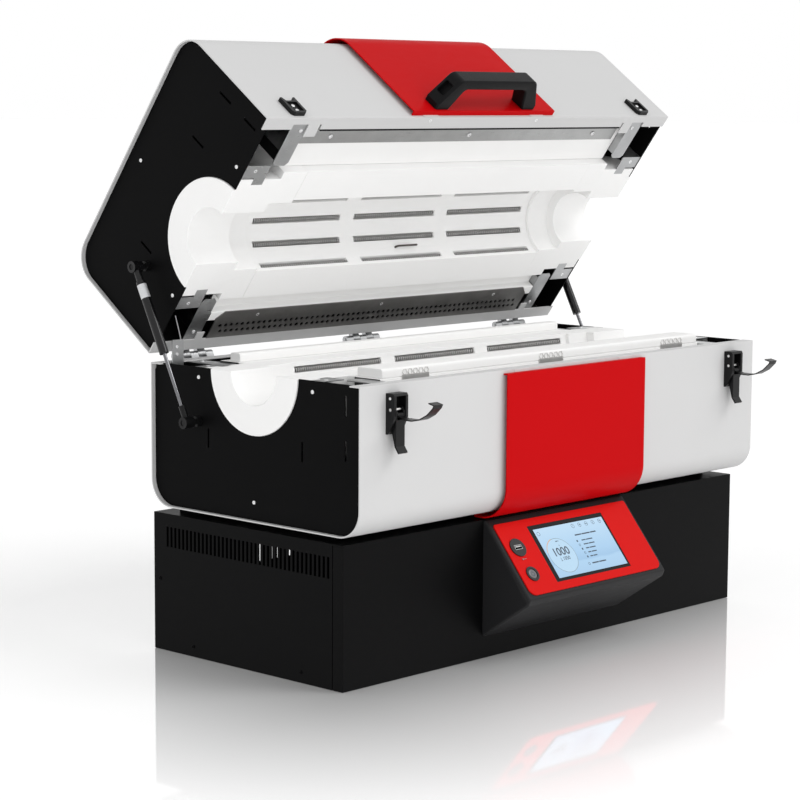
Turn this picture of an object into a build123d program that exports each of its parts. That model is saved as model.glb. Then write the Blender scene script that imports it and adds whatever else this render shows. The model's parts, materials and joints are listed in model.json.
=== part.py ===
"""Split tube furnace, shown with its lid open.

X runs along the work tube, the front is at -Y and +Z is up. The origin is the centre of the base's underside.
Pieces of the lid are modelled shut, over the parting plane, and are turned open about the hinge when written.
"""
import os
from math import cos, degrees, atan2, hypot, radians, sin

from build123d import *

os.makedirs("parts", exist_ok=True)

# ---- driving dimensions, millimetres and degrees ----
case_width = 850.0
case_depth = 400.0
half_height = 198.0
parting_z = 400.0
seam = 0.5
sheet = 2.0
case_corner = 38.0
flange_depth = 19.0
front_tab, back_tab, tab_reach = (323.0, 344.0), (338.0, 352.0), 12.0
strap_notch, notch_reach, slit_width = (344.0, 372.0), 8.0, 3.0
plate_inset = 6.0

open_angle = 53.7
hinge_y = 212.0
hinge_z = 402.0

heated_length = 600.0
module_length = 200.0
box_length = 688.0
box_front = 172.0
box_back = 150.0
box_height = 165.0
module_half = 110.0
chamber_radius = 62.0
clip_start, clip_end, clip_lip = 374.0, 394.0, (90.0, 103.0)
rail_height = 12.0
rail_front = -157.0
recess_height = 14.0

slots_per_half = 6
first_slot, slot_step = 10.0, 30.0
slot_length = 172.0
slot_width = 9.0
coil_radius = 3.4
coil_circle = 66.6

probe_x, probe_radius = -4.0, 1.5
probe_angle = radians(25.0)

base_width = 842.0
base_front = 167.0
base_back = 200.0
base_height = 192.0

panel_width = 300.0
panel_gap = 8.0

strut_x = 440.0
strut_y = 109.0
strut_rise = 76.0

latch_x = 365.0

lid, body = 1, -1
hinge_axis = Axis((0, hinge_y, hinge_z), (1, 0, 0))
box_x = box_length / 2
plate_x = case_width / 2 - plate_inset
front_y = -case_depth / 2


def write(piece, name, opened=False):
    """Labels a finished piece and writes its STEP file; a lid piece is first turned open about the hinge."""
    shape = piece.part.rotate(hinge_axis, -open_angle) if opened else piece.part
    shape.label = name
    export_step(shape, f"parts/{name}.step")


def level(half, height):
    """The Z of a height over the parting plane, counted away from it into that half."""
    return parting_z + half * height


def half_outline(half, x, depth, height, corner):
    """End view of one half: flat along the parting plane, with round corners on the far side."""
    far = -1 if half == lid else 0
    with BuildSketch(Plane.YZ.offset(x)) as outline:
        with Locations((0, level(half, (seam + height) / 2))):
            Rectangle(depth, height - seam)
        fillet(outline.vertices().group_by(Axis.Y)[far], corner)
    return outline.sketch


def slab(half, x_range, y_range, height_range, mode=Mode.ADD):
    """A block between X limits, Y limits and heights over the parting plane."""
    centre = (sum(x_range) / 2, sum(y_range) / 2, level(half, sum(height_range) / 2))
    size = [abs(high - low) for low, high in (x_range, y_range, height_range)]
    with Locations(centre):
        Box(*size, mode=mode)


def both_ways(low, high):
    """The range and its mirror image."""
    return (low, high), (-high, -low)


# ---- case halves ----
def make_shell(half):
    """Folded sheet: front, far side and back in one piece, with a return flange along both parting edges."""
    with BuildPart() as shell:
        extrude(half_outline(half, -case_width / 2, case_depth, half_height, case_corner), amount=case_width)
        inside = half_outline(half, -case_width / 2, case_depth - 2 * sheet, half_height - sheet, case_corner - sheet)
        extrude(inside, amount=case_width, mode=Mode.SUBTRACT)
        flange_end = case_depth / 2
        for y_range in both_ways(flange_end - flange_depth, flange_end):
            slab(half, (-case_width / 2, case_width / 2), y_range, (seam, seam + sheet))
        if half == lid:
            edge = flange_end - flange_depth
            for x_range in both_ways(*front_tab):
                slab(half, x_range, (-edge, tab_reach - edge), (seam, seam + sheet))
            for x_range in both_ways(*back_tab):
                slab(half, x_range, (edge - tab_reach, edge), (seam, seam + sheet))
            for x_range in (*both_ways(*strap_notch), *both_ways(front_tab[0] - slit_width, front_tab[0])):
                slab(half, x_range, (-edge - notch_reach, -edge), (seam, seam + sheet), mode=Mode.SUBTRACT)
    return shell


def make_end_plate(half, side):
    """Black end plate, set in from the shell's edge, with the half-round tube opening and slots."""
    hole_radius = 83.5
    slot = (3.0, 26.0)
    slot_places = ((-169, 28), (-169, 86), (-90, 95), (90, 95))
    rear_corner = 10.0
    start = min(side * plate_x, side * (plate_x - sheet))
    with BuildPart() as plate:
        extrude(half_outline(half, start, case_depth - 2 * sheet, half_height - sheet, case_corner), amount=sheet)
        with BuildSketch(Plane.YZ.offset(start)):
            with Locations((0, parting_z)):
                Circle(hole_radius)
            with Locations(*[(y, level(half, height)) for y, height in slot_places]):
                Rectangle(*slot)
        extrude(amount=sheet, mode=Mode.SUBTRACT)
        parting_edges = plate.edges().filter_by(Axis.X).group_by(Axis.Z)[0 if half == lid else -1]
        chamfer(parting_edges.sort_by(Axis.Y)[-1], rear_corner)
        for y_range in both_ways(case_depth / 2 - flange_depth, case_depth / 2 - sheet):
            slab(half, (start, start + sheet), y_range, (seam, seam + sheet), mode=Mode.SUBTRACT)
    return plate


def make_red_panel(half):
    """Bowed cover sheet that stands off the shell and wraps round its far front corner."""
    edge_height = 5.0
    wrap_end = 50.0
    gap = panel_gap
    with BuildPart() as panel:
        outer = half_outline(half, -panel_width / 2, case_depth + 2 * gap, half_height + gap, case_corner + gap)
        extrude(outer, amount=panel_width)
        inner = half_outline(half, -panel_width / 2, case_depth + 2 * (gap - sheet), half_height + gap - sheet,
                             case_corner + gap - sheet)
        extrude(inner, amount=panel_width, mode=Mode.SUBTRACT)
        front_limits = (front_y - gap, front_y + wrap_end)
        slab(half, (-panel_width / 2, panel_width / 2), front_limits, (edge_height, half_height + gap),
             mode=Mode.INTERSECT)
        slab(half, (-panel_width / 2, panel_width / 2), (front_y - gap, front_y), (edge_height, edge_height + sheet))
        slab(half, (-panel_width / 2, panel_width / 2), (front_limits[1] - sheet, front_limits[1]),
             (half_height, half_height + gap))
        for x_range in both_ways(98.0, 128.0):
            slab(half, x_range, (front_y - 1, front_y), (seam + 0.5, edge_height + sheet))
    return panel


# ---- insulation and heaters ----
def make_insulation(half):
    """Fibre-board box that holds the heater modules; its side walls are cut back for the rails and the combs."""
    guard_seat = 134.0
    ends = (-box_x, box_x)
    with BuildPart() as board:
        slab(half, ends, (-box_front, box_back), (seam, box_height))
        slab(half, ends, (-module_half, module_half), (seam, module_half), mode=Mode.SUBTRACT)
        if half == lid:
            slab(half, ends, (-box_front, -module_half), (seam, recess_height), mode=Mode.SUBTRACT)
            slab(half, ends, (module_half, guard_seat), (seam, recess_height), mode=Mode.SUBTRACT)
            slab(half, ends, (guard_seat, box_back), (seam, seam + 1.5), mode=Mode.SUBTRACT)
        else:
            slab(half, ends, (-box_front, rail_front), (seam, 8), mode=Mode.SUBTRACT)
    return board


def slot_angles(half):
    """Start angle and swept angle of a half's heater slots, counted from the hinge side of the parting plane."""
    start = first_slot if half == lid else 360 - first_slot - slot_step * (slots_per_half - 1)
    return start, slot_step * slots_per_half


def make_heater(half, centre_x):
    """Ceramic-fibre heater module: a block with the half-round chamber and long slots that hold the coils."""
    slot_depth = 8.0
    start_angle, swept = slot_angles(half)
    with BuildPart() as heater:
        slab(half, (centre_x - module_length / 2, centre_x + module_length / 2), (-module_half, module_half),
             (seam, module_half))
        with BuildSketch(Plane.YZ.offset(centre_x - module_length / 2)):
            with Locations((0, parting_z)):
                Circle(chamber_radius)
        extrude(amount=module_length, mode=Mode.SUBTRACT)
        with BuildSketch(Plane.YZ.offset(centre_x - slot_length / 2)):
            with Locations((0, parting_z)):
                with PolarLocations(chamber_radius, slots_per_half, start_angle, swept):
                    Rectangle(2 * slot_depth, slot_width)
        extrude(amount=slot_length, mode=Mode.SUBTRACT)
        if half == lid and centre_x == 0:
            probe_line = (0, cos(probe_angle), sin(probe_angle))
            with BuildSketch(Plane(origin=(probe_x, 0, parting_z), x_dir=(1, 0, 0), z_dir=probe_line)):
                Circle(probe_radius)
            extrude(amount=chamber_radius + 36, mode=Mode.SUBTRACT)
    return heater


def make_coils(half):
    """One wound heating element in each slot of the three modules, drawn as its outer cylinder."""
    start_angle, swept = slot_angles(half)
    with BuildPart() as coils:
        for centre_x in (-module_length, 0, module_length):
            with BuildSketch(Plane.YZ.offset(centre_x - slot_length / 2)):
                with Locations((0, parting_z)):
                    with PolarLocations(coil_circle, slots_per_half, start_angle, swept):
                        RegularPolygon(coil_radius, 12)
            extrude(amount=slot_length)
    return coils


def make_vestibules(half):
    """End plugs of the chamber: stepped half rings that narrow to the tube and pass through the end plates."""
    step_radius, bore_radius = 57.0, 43.0
    ring_radius, spigot_radius = 99.0, 83.0
    block_start, face = heated_length / 2, plate_x + sheet
    ring_end = plate_x - sheet
    stages = ((box_x, ring_end, ring_radius), (ring_end, face, spigot_radius))
    bores = ((block_start, box_x, step_radius), (box_x, face, bore_radius))
    with BuildPart() as plugs:
        for side in (-1, 1):
            slab(half, sorted((side * block_start, side * box_x)), (-module_half, module_half),
                 (seam, module_half))
            for near, far, radius in stages:
                with BuildSketch(Plane.YZ.offset(side * near)):
                    with Locations((0, parting_z)):
                        Circle(radius)
                extrude(amount=side * (far - near))
            for near, far, radius in bores:
                with BuildSketch(Plane.YZ.offset(side * near)):
                    with Locations((0, parting_z)):
                        Circle(radius)
                extrude(amount=side * (far - near), mode=Mode.SUBTRACT)
        split(bisect_by=Plane.XY.offset(level(half, seam)), keep=Keep.TOP if half == lid else Keep.BOTTOM)
        for x_range in both_ways(clip_start, clip_end):
            for y_range in both_ways(*clip_lip):
                slab(half, x_range, y_range, (seam, seam + sheet), mode=Mode.SUBTRACT)
    return plugs


def make_corner_straps(half):
    """Four zinc angles that close the corners beside the insulation box; the body's also hold the lid switch."""
    strap_width, leg_height, strap_sheet = 28.0, 60.0, 1.5
    top = seam + sheet
    with BuildPart() as straps:
        for side in (-1, 1):
            upright = sorted((side * box_x, side * (box_x + strap_sheet)))
            for y_range in ((-192, -120), (110, 190)):
                start = level(half, top if half == lid else top + strap_sheet)
                with BuildSketch(Plane.XY.offset(start)) as flat:
                    with Locations((side * (box_x + strap_width / 2), sum(y_range) / 2)):
                        Rectangle(strap_width, y_range[1] - y_range[0])
                    chamfer(flat.vertices(), 5)
                extrude(amount=strap_sheet)
                slab(half, upright, (y_range[0] + 8, y_range[1] - 8), (top + strap_sheet / 2, leg_height))
        if half == body:
            inner_face = plate_x - sheet
            slab(half, (-inner_face, 2 - inner_face), (156, 178), (4, 24))
            slab(half, (-inner_face, -386), (176, 178), (4, 24))
            slab(half, (-406, -386), (176, 178), (-30, 24))
            with BuildSketch(Plane(origin=(-390, 177, parting_z + 29), x_dir=(0, 1, 0), z_dir=(-10, 0, 34))):
                RegularPolygon(1.0, 6)
            extrude(amount=36)
    return straps


def make_ring_clips(half):
    """Small angles on the end plates, each with a lip let into the vestibule ring that it holds."""
    inner_face = plate_x - sheet
    flat = (seam + 0.5, seam + sheet)
    with BuildPart() as clips:
        for side in (-1, 1):
            upright = sorted((side * (inner_face - 1.5), side * inner_face))
            for y_range in both_ways(102.0, 122.0):
                slab(half, upright, y_range, (seam + 0.5, 28))
                slab(half, sorted((side * clip_start, side * inner_face)), y_range, flat)
            for y_range in both_ways(*clip_lip):
                slab(half, sorted((side * clip_start, side * clip_end)), y_range, flat)
    return clips


for half, prefix in ((body, "body"), (lid, "lid")):
    is_lid = half == lid
    write(make_shell(half), f"{prefix}_shell", is_lid)
    write(make_red_panel(half), f"{prefix}_red_panel", is_lid)
    write(make_insulation(half), f"{prefix}_insulation", is_lid)
    write(make_coils(half), f"{prefix}_heating_coils", is_lid)
    write(make_corner_straps(half), f"{prefix}_corner_straps", is_lid)
    write(make_ring_clips(half), f"{prefix}_ring_clips", is_lid)
    write(make_vestibules(half), f"{prefix}_vestibules", is_lid)
    for centre, place in ((-module_length, "left"), (0, "middle"), (module_length, "right")):
        write(make_heater(half, centre), f"{prefix}_heater_{place}", is_lid)
    for side, place in ((-1, "left"), (1, "right")):
        write(make_end_plate(half, side), f"{prefix}_end_plate_{place}", is_lid)

# ---- sealing rails of the lower half ----
with BuildPart() as seal_rails:
    rail_x, rail_top = box_x - 4, -rail_height
    slab(body, (-rail_x, rail_x), (rail_front, -112), (seam, rail_top))
    slab(body, (-rail_x, rail_x), (112, 132), (seam, rail_top))
    fillet(seal_rails.edges().filter_by(Axis.X).group_by(Axis.Z)[-1], 4)
write(seal_rails, "body_seal_rails")

# ---- spring combs that bear on the front sealing rail ----
with BuildPart() as combs:
    comb_length, comb_sheet, loop_pitch, loop_radius, wire = 52.0, 1.0, 10.4, 4.6, 1.0
    with BuildSketch(Plane.XZ.offset(-rail_front)):
        for comb_x in (-277, 0, 277):
            loop_places = [(comb_x + loop_pitch * index, parting_z + 5.4) for index in (-2, -1, 0, 1, 2)]
            with Locations((comb_x, parting_z - 2.5)):
                Rectangle(comb_length, 9)
            with Locations(*loop_places):
                RegularPolygon(loop_radius, 6)
            with Locations(*loop_places):
                RegularPolygon(loop_radius - wire, 6, mode=Mode.SUBTRACT)
    extrude(amount=comb_sheet)
write(combs, "spring_combs")

# ---- lid metalwork ----
with BuildPart() as guard:
    guard_front, guard_back, guard_length = 134.0, 181.0, 660.0
    slab(lid, (-guard_length / 2, guard_length / 2), (guard_front, guard_back), (seam, seam + 1.5))
    chamfer(guard.edges().filter_by(Axis.Z).group_by(Axis.Y)[0], 12)
    hole_pitch, holes_in_row = 10.6, 60
    with BuildSketch(Plane.XY.offset(parting_z)):
        for row_y, shift in ((159.0, -hole_pitch / 4), (169.5, hole_pitch / 4)):
            with Locations((shift, row_y)):
                with GridLocations(hole_pitch, 1, holes_in_row, 1):
                    RegularPolygon(3.2, 6)
    extrude(amount=4, mode=Mode.SUBTRACT)
write(guard, "lid_guard_strip", True)

with BuildPart() as front_strip:
    slab(lid, (-333, 333), (-box_front, -149), (recess_height - 1.5, recess_height))
    with BuildSketch(Plane.XY.offset(parting_z)):
        with Locations((0, -161)):
            with GridLocations(280, 1, 3, 1):
                RegularPolygon(2.5, 8)
    extrude(amount=20, mode=Mode.SUBTRACT)
write(front_strip, "lid_front_strip", True)

with BuildPart() as thermocouple:
    wall_y, wall_z = cos(probe_angle) * (chamber_radius + 36), sin(probe_angle) * (chamber_radius + 36)
    tip_y, tip_z = cos(probe_angle) * (chamber_radius - 5), sin(probe_angle) * (chamber_radius - 5)
    with BuildLine():
        FilletPolyline((probe_x, wall_y, parting_z + wall_z), (probe_x, tip_y, parting_z + tip_z),
                       (probe_x + 42, tip_y, parting_z + tip_z), radius=4)
    with BuildSketch(Plane(origin=(probe_x, wall_y, parting_z + wall_z), x_dir=(1, 0, 0), z_dir=(0, -wall_y, -wall_z))):
        RegularPolygon(probe_radius, 8)
    sweep()
write(thermocouple, "thermocouple", True)

with BuildPart() as handle:
    foot_y, grip_y = front_y - panel_gap, front_y - 56
    leg_out, leg_in, grip_out = 105.0, 78.0, 80.0
    with BuildSketch(Plane.XY.offset(parting_z + 8)) as bridge:
        with BuildLine():
            Polyline((-leg_out, foot_y), (-leg_out, foot_y - 8), (-grip_out, grip_y), (grip_out, grip_y),
                     (leg_out, foot_y - 8), (leg_out, foot_y), (leg_in, foot_y), (leg_in - 14, grip_y + 15),
                     (14 - leg_in, grip_y + 15), (-leg_in, foot_y), close=True)
        make_face()
        fillet(bridge.vertices().group_by(Axis.Y)[0], 12)
        fillet(bridge.vertices().filter_by_position(Axis.Y, grip_y + 14, grip_y + 16), 9)
    extrude(amount=26)
    for end_face in handle.faces().filter_by(Axis.Z):
        chamfer(end_face.outer_wire().edges().filter_by_position(Axis.Y, grip_y - 1, foot_y - 4), 2)
    socket_face = Plane(origin=(-(leg_out + grip_out) / 2, (foot_y - 8 + grip_y) / 2, parting_z + 21),
                        x_dir=(0, 0, 1), z_dir=(grip_y - foot_y + 8, -(leg_out - grip_out), 0))
    for face_plane in (socket_face, Plane(origin=(-socket_face.origin.X, socket_face.origin.Y, socket_face.origin.Z),
                                          x_dir=(0, 0, 1), z_dir=(foot_y - grip_y - 8, -(leg_out - grip_out), 0))):
        with BuildSketch(face_plane):
            RectangleRounded(16, 20, 3)
        extrude(amount=-9, mode=Mode.SUBTRACT)
write(handle, "lid_handle", True)

with BuildPart() as keepers:
    keeper_width, channel_width, rail_rise, web = 26.0, 17.5, 6.0, 3.0
    for side in (-1, 1):
        centre = side * latch_x
        with BuildSketch(Plane.XZ.offset(-front_y)) as plate:
            with BuildLine():
                Polyline((centre - 13, parting_z + 9), (centre - 9, parting_z + 5), (centre + 9, parting_z + 5),
                         (centre + 13, parting_z + 9), (centre + 13, parting_z + 38), (centre + 10, parting_z + 38),
                         (centre + 7, parting_z + 31), (centre - 7, parting_z + 31), (centre - 10, parting_z + 38),
                         (centre - 13, parting_z + 38), close=True)
            make_face()
        extrude(amount=rail_rise)
        slab(lid, (centre - channel_width / 2, centre + channel_width / 2), (front_y - rail_rise, front_y - web),
             (9, 28), mode=Mode.SUBTRACT)
write(keepers, "latch_keepers", True)

# ---- hinges ----
hinge_places = (-338.0, 0.0, 338.0)
hinge_length, knuckles, knuckle_gap = 70.0, 5, 0.4
barrel_radius, pin_radius, leaf_sheet = 5.4, 2.2, 3.0
knuckle_pitch = hinge_length / knuckles


def make_leaves(half):
    """Hinge leaves of one half: a plate on the back wall and every second knuckle of the barrel."""
    first = 0 if half == body else 1
    bore = pin_radius if half == body else pin_radius + 0.06
    rise = half * 1.0
    back = case_depth / 2
    with BuildPart() as leaves:
        for place in hinge_places:
            start = place - hinge_length / 2
            with BuildSketch(Plane.YZ.offset(start)):
                with Locations((back + leaf_sheet / 2, hinge_z + rise * 26)):
                    Rectangle(leaf_sheet, 26)
            extrude(amount=hinge_length)
            for index in range(first, knuckles, 2):
                with BuildSketch(Plane.YZ.offset(start + index * knuckle_pitch + knuckle_gap / 2)):
                    with Locations((hinge_y, hinge_z)):
                        RegularPolygon(barrel_radius, 12)
                    with BuildLine():
                        Polyline((back, hinge_z + rise * 13), (back, hinge_z + rise * 17),
                                 (back + leaf_sheet, hinge_z + rise * 17), (hinge_y + barrel_radius, hinge_z),
                                 (hinge_y - barrel_radius, hinge_z), close=True)
                    make_face()
                    with Locations((hinge_y, hinge_z)):
                        Circle(bore, mode=Mode.SUBTRACT)
                extrude(amount=knuckle_pitch - knuckle_gap)
    return leaves


write(make_leaves(body), "body_hinge_leaves")
write(make_leaves(lid), "lid_hinge_leaves", True)

with BuildPart() as hinge_pins:
    for place in hinge_places:
        with BuildSketch(Plane.YZ.offset(place - hinge_length / 2 - 1)):
            with Locations((hinge_y, hinge_z)):
                Circle(pin_radius)
        extrude(amount=hinge_length + 2)
write(hinge_pins, "hinge_pins")

# ---- gas struts ----
stud_radius, stud_end, hex_radius, socket_radius = 4.0, strut_x + 7, 7.5, 8.0
lower_pivot = (strut_y, hinge_z - strut_rise)
upper_shut = (strut_y, hinge_z + strut_rise)
turn = radians(-open_angle)
reach_y, reach_z = upper_shut[0] - hinge_y, upper_shut[1] - hinge_z
upper_pivot = (hinge_y + reach_y * cos(turn) - reach_z * sin(turn), hinge_z + reach_y * sin(turn) + reach_z * cos(turn))
strut_length = hypot(upper_pivot[0] - lower_pivot[0], upper_pivot[1] - lower_pivot[1])
strut_lean = atan2(upper_pivot[0] - lower_pivot[0], upper_pivot[1] - lower_pivot[1])
print("strut pivots", lower_pivot, upper_pivot, "length", strut_length, "lean", degrees(strut_lean))


def make_studs(pivot):
    """Two pivot studs, one through each end plate."""
    with BuildPart() as studs:
        for side in (-1, 1):
            with BuildSketch(Plane.YZ.offset(side * plate_x)):
                with Locations(pivot):
                    Circle(stud_radius)
            extrude(amount=side * (stud_end - plate_x))
            with BuildSketch(Plane.YZ.offset(side * plate_x)):
                with Locations(pivot):
                    RegularPolygon(hex_radius, 6)
            extrude(amount=side * 6)
    return studs


def strut_plane(side, along):
    """Plane across the strut, at a distance along it from the lower pivot."""
    lower = Vector(side * strut_x, *lower_pivot)
    direction = Vector(0, sin(strut_lean), cos(strut_lean))
    return Plane(origin=lower + direction * along, x_dir=(1, 0, 0), z_dir=direction)


def add_eye(side, along):
    """Round end fitting of a strut, with the bore that turns on the stud."""
    with BuildPart(mode=Mode.PRIVATE) as eye:
        pivot = strut_plane(side, along).origin
        with BuildSketch(Plane.YZ.offset(side * strut_x - 8)):
            with Locations((pivot.Y, pivot.Z)):
                Circle(socket_radius)
        extrude(amount=16)
        with BuildSketch(Plane.YZ.offset(side * strut_x - 8)):
            with Locations((pivot.Y, pivot.Z)):
                Circle(stud_radius + 0.08)
        extrude(amount=16, mode=Mode.SUBTRACT)
    return eye.part


def make_rod(side):
    """Polished rod with its lower eye and the piston on its inner end."""
    neck_end, rod_radius, piston_radius = 24.0, 2.5, 4.9
    rod_end = strut_length - 108
    with BuildPart() as rod:
        add(add_eye(side, 0))
        for near, far, radius in ((6.5, neck_end, 4.5), (neck_end, rod_end, rod_radius),
                                  (rod_end - 7, rod_end, piston_radius)):
            with BuildSketch(strut_plane(side, near)):
                Circle(radius)
            extrude(amount=far - near)
    return rod


def make_cylinder(side):
    """Pressure tube with its upper eye, open inside for the piston, and the guide that the rod slides in."""
    tube_radius, wall, tube_end, neck = 6.5, 1.1, 128.0, 22.0
    guide_length, guide_bore = 6.0, 2.62
    with BuildPart() as cylinder:
        add(add_eye(side, strut_length))
        for near, far, radius in ((6.5, neck, 5.0), (neck, tube_end, tube_radius)):
            with BuildSketch(strut_plane(side, strut_length - near)):
                Circle(radius)
            extrude(amount=near - far)
        for near, far, radius in ((neck + 4, tube_end - guide_length, tube_radius - wall),
                                  (tube_end - guide_length, tube_end, guide_bore)):
            with BuildSketch(strut_plane(side, strut_length - near)):
                Circle(radius)
            extrude(amount=near - far, mode=Mode.SUBTRACT)
    return cylinder


write(make_studs(lower_pivot), "body_strut_studs")
write(make_studs(upper_shut), "lid_strut_studs", True)
for side, place in ((-1, "left"), (1, "right")):
    write(make_rod(side), f"strut_rod_{place}")
    write(make_cylinder(side), f"strut_cylinder_{place}")

# ---- toggle latches ----
housing_half, channel_half, lever_half, arm_half, hook_half = 13.0, 8.6, 8.2, 5.6, 5.2
lever_pivot = (-208.0, 367.0)
hook_pivot = (-211.0, 360.0)
lever_pin, hook_pin = 2.0, 1.6


def make_housing(centre):
    """Moulded base of a latch: two cheeks, a back and a top round the lever's channel."""
    with BuildPart() as housing:
        with BuildSketch(Plane.YZ.offset(centre - housing_half)):
            with BuildLine():
                Polyline((front_y, 388), (-213, 388), (-215, 385), (-215, 357), (-206, 338), (-203, 335),
                         (front_y, 335), close=True)
            make_face()
        extrude(amount=2 * housing_half)
        with BuildSketch(Plane.YZ.offset(centre - channel_half)):
            with Locations((-214, 356)):
                Rectangle(22, 57)
        extrude(amount=2 * channel_half, mode=Mode.SUBTRACT)
        with BuildSketch(Plane.YZ.offset(centre - housing_half)):
            with Locations(lever_pivot):
                Circle(lever_pin)
        extrude(amount=2 * housing_half, mode=Mode.SUBTRACT)
    return housing


with BuildPart() as latch_pins:
    for side in (-1, 1):
        with BuildSketch(Plane.YZ.offset(side * latch_x - housing_half)):
            with Locations(lever_pivot):
                Circle(lever_pin)
        extrude(amount=2 * housing_half)
write(latch_pins, "latch_pins")


def make_lever(centre):
    """Channel-shaped lever with two arms on the pin, a turned-out lip and the hook's own pin."""
    with BuildPart() as lever:
        with BuildSketch(Plane.YZ.offset(centre - lever_half)):
            with BuildLine():
                Polyline((-213.8, 366), (-213.8, 320), (-219.5, 312), (-217.4, 310.6), (-211.4, 319), (-204, 346),
                         (-204, 366), close=True)
            make_face()
            with Locations(lever_pivot):
                Circle(4.2)
        extrude(amount=2 * lever_half)
        with BuildSketch(Plane.YZ.offset(centre - arm_half)):
            with BuildLine():
                Polyline((-220, 380), (-220, 354), (-213.8, 354), (-211.4, 353), (-211.4, 324), (-200, 324),
                         (-200, 380), close=True)
            make_face()
        extrude(amount=2 * arm_half, mode=Mode.SUBTRACT)
        with BuildSketch(Plane.YZ.offset(centre - lever_half)):
            with Locations(lever_pivot):
                Circle(lever_pin + 0.06)
        extrude(amount=2 * lever_half, mode=Mode.SUBTRACT)
        with BuildSketch(Plane.YZ.offset(centre - lever_half)):
            with Locations(hook_pivot):
                Circle(hook_pin)
        extrude(amount=2 * lever_half)
    return lever


def make_hook(centre):
    """Bowed draw hook: an eye on the lever's pin, a strip that widens past the housing and a tip folded back."""
    strip, wide_from = 1.6, -225.0
    with BuildPart() as hook:
        with BuildSketch(Plane.YZ.offset(centre - lever_half)):
            with BuildLine():
                Polyline((-213.5, 358.6), (-226, 355.6), (-240, 355.4), (-254, 358.6), (-266.5, 365.2), (-276.5, 374.6),
                         (-278.5, 378.5), (-269, 380.6))
            trace(line_width=strip)
        extrude(amount=2 * lever_half)
        for low, high in both_ways(hook_half, lever_half + 1):
            with Locations((centre + (low + high) / 2, (wide_from - 200) / 2, 355)):
                Box(high - low, -200 - wide_from, 20, mode=Mode.SUBTRACT)
        with BuildSketch(Plane.YZ.offset(centre - hook_half)):
            with Locations(hook_pivot):
                Circle(hook_pin + 1.7)
        extrude(amount=2 * hook_half)
        with BuildSketch(Plane.YZ.offset(centre - hook_half)):
            with Locations(hook_pivot):
                Circle(hook_pin + 0.06)
        extrude(amount=2 * hook_half, mode=Mode.SUBTRACT)
    return hook


for side, place in ((-1, "left"), (1, "right")):
    write(make_housing(side * latch_x), f"latch_housing_{place}")
    write(make_lever(side * latch_x), f"latch_lever_{place}")
    write(make_hook(side * latch_x), f"latch_hook_{place}")

# ---- base ----
half_base = base_width / 2
panel_seam_y = -147.5

with BuildPart() as cover:
    with BuildSketch(Plane.XZ.offset(-base_back)):
        with Locations((0, base_height / 2)):
            Rectangle(base_width, base_height)
            Rectangle(base_width - 2 * sheet, base_height, mode=Mode.SUBTRACT)
    extrude(amount=base_back - panel_seam_y)
    with Locations((0, (base_back - base_front + sheet) / 2, base_height - sheet / 2)):
        Box(base_width, base_back + base_front - sheet, sheet)
    vent_pitch, vent_count = 8.0, 40
    vent_places = [(172 - index * vent_pitch, 160) for index in range(vent_count)]
    with BuildSketch(Plane.YZ.offset(-half_base)):
        with Locations(*vent_places):
            Rectangle(4, 28)
    extrude(amount=base_width, mode=Mode.SUBTRACT)
write(cover, "base_cover")

with BuildPart() as front_panel:
    with BuildSketch(Plane.XY):
        with Locations((0, -base_front + sheet / 2)):
            Rectangle(base_width, sheet)
        return_length = base_front + panel_seam_y - sheet
        for side in (-1, 1):
            with Locations((side * (half_base - sheet / 2), -base_front + sheet + return_length / 2 - 0.5)):
                Rectangle(sheet, return_length - 1)
    extrude(amount=base_height - sheet)
    with Locations((0, -base_front + sheet / 2, base_height - sheet / 2)):
        Box(base_width, sheet, sheet)
    with Locations((0, -base_front + sheet / 2, 110)):
        Box(240, sheet, 90, mode=Mode.SUBTRACT)
write(front_panel, "base_front_panel")

with BuildPart() as chassis:
    with Locations((0, (base_back - base_front) / 2, sheet / 2)):
        Box(base_width - 2 * sheet, base_back + base_front - 2 * sheet, sheet)
    with Locations((0, base_back - sheet / 2, base_height / 2 - sheet / 2)):
        Box(base_width - 2 * sheet, sheet, base_height - sheet)
    gland_x, gland_z = 340.0, 45.0
    with BuildSketch(Plane.XZ.offset(-base_back)):
        with Locations((-180, 120), (180, 120)):
            with GridLocations(12, 1, 10, 1):
                Rectangle(4, 50)
        with Locations((gland_x, gland_z)):
            Circle(10)
    extrude(amount=sheet, mode=Mode.SUBTRACT)
write(chassis, "base_chassis")

with BuildPart() as spacers:
    gap_height = parting_z - half_height - base_height
    with Locations((0, -110, base_height + gap_height / 2), (0, 150, base_height + gap_height / 2)):
        Box(800, 40, gap_height)
write(spacers, "base_spacers")

with BuildPart() as gland:
    cable_bore, nut_across, outside, inside = 5.0, 15.0, 20.0, 14.0
    with BuildSketch(Plane.XZ.offset(-base_back)):
        with Locations((gland_x, gland_z)):
            RegularPolygon(nut_across, 6)
    extrude(amount=-7)
    for depth, radius in ((-outside, 11.5), (inside, 10.0)):
        with BuildSketch(Plane.XZ.offset(-base_back)):
            with Locations((gland_x, gland_z)):
                RegularPolygon(radius, 12)
        extrude(amount=depth)
    chamfer(gland.faces().sort_by(Axis.Y)[-1].edges(), 3)
    with BuildSketch(Plane.XZ.offset(-base_back - outside)):
        with Locations((gland_x, gland_z)):
            Circle(cable_bore)
    extrude(amount=outside + inside, mode=Mode.SUBTRACT)
write(gland, "mains_gland")

# ---- control pod ----
slope = 50.8
fascia_width, fascia_height, fascia_sheet = 286.0, 113.0, 2.0
face = Plane(origin=(0, -178, 185.5), x_dir=(1, 0, 0), z_dir=(0, -sin(radians(slope)), cos(radians(slope))))
pod_width, pod_wall, pod_top, pod_foot = 300.0, 3.0, 190.5, 30.0
display_size, display_centre = (162.0, 89.5), (0, -56.3)
port_centre, button_centre = (-120.5, -40.0), (-120.0, -82.0)
port_radius, bezel_radius = 12.5, 9.6

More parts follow.
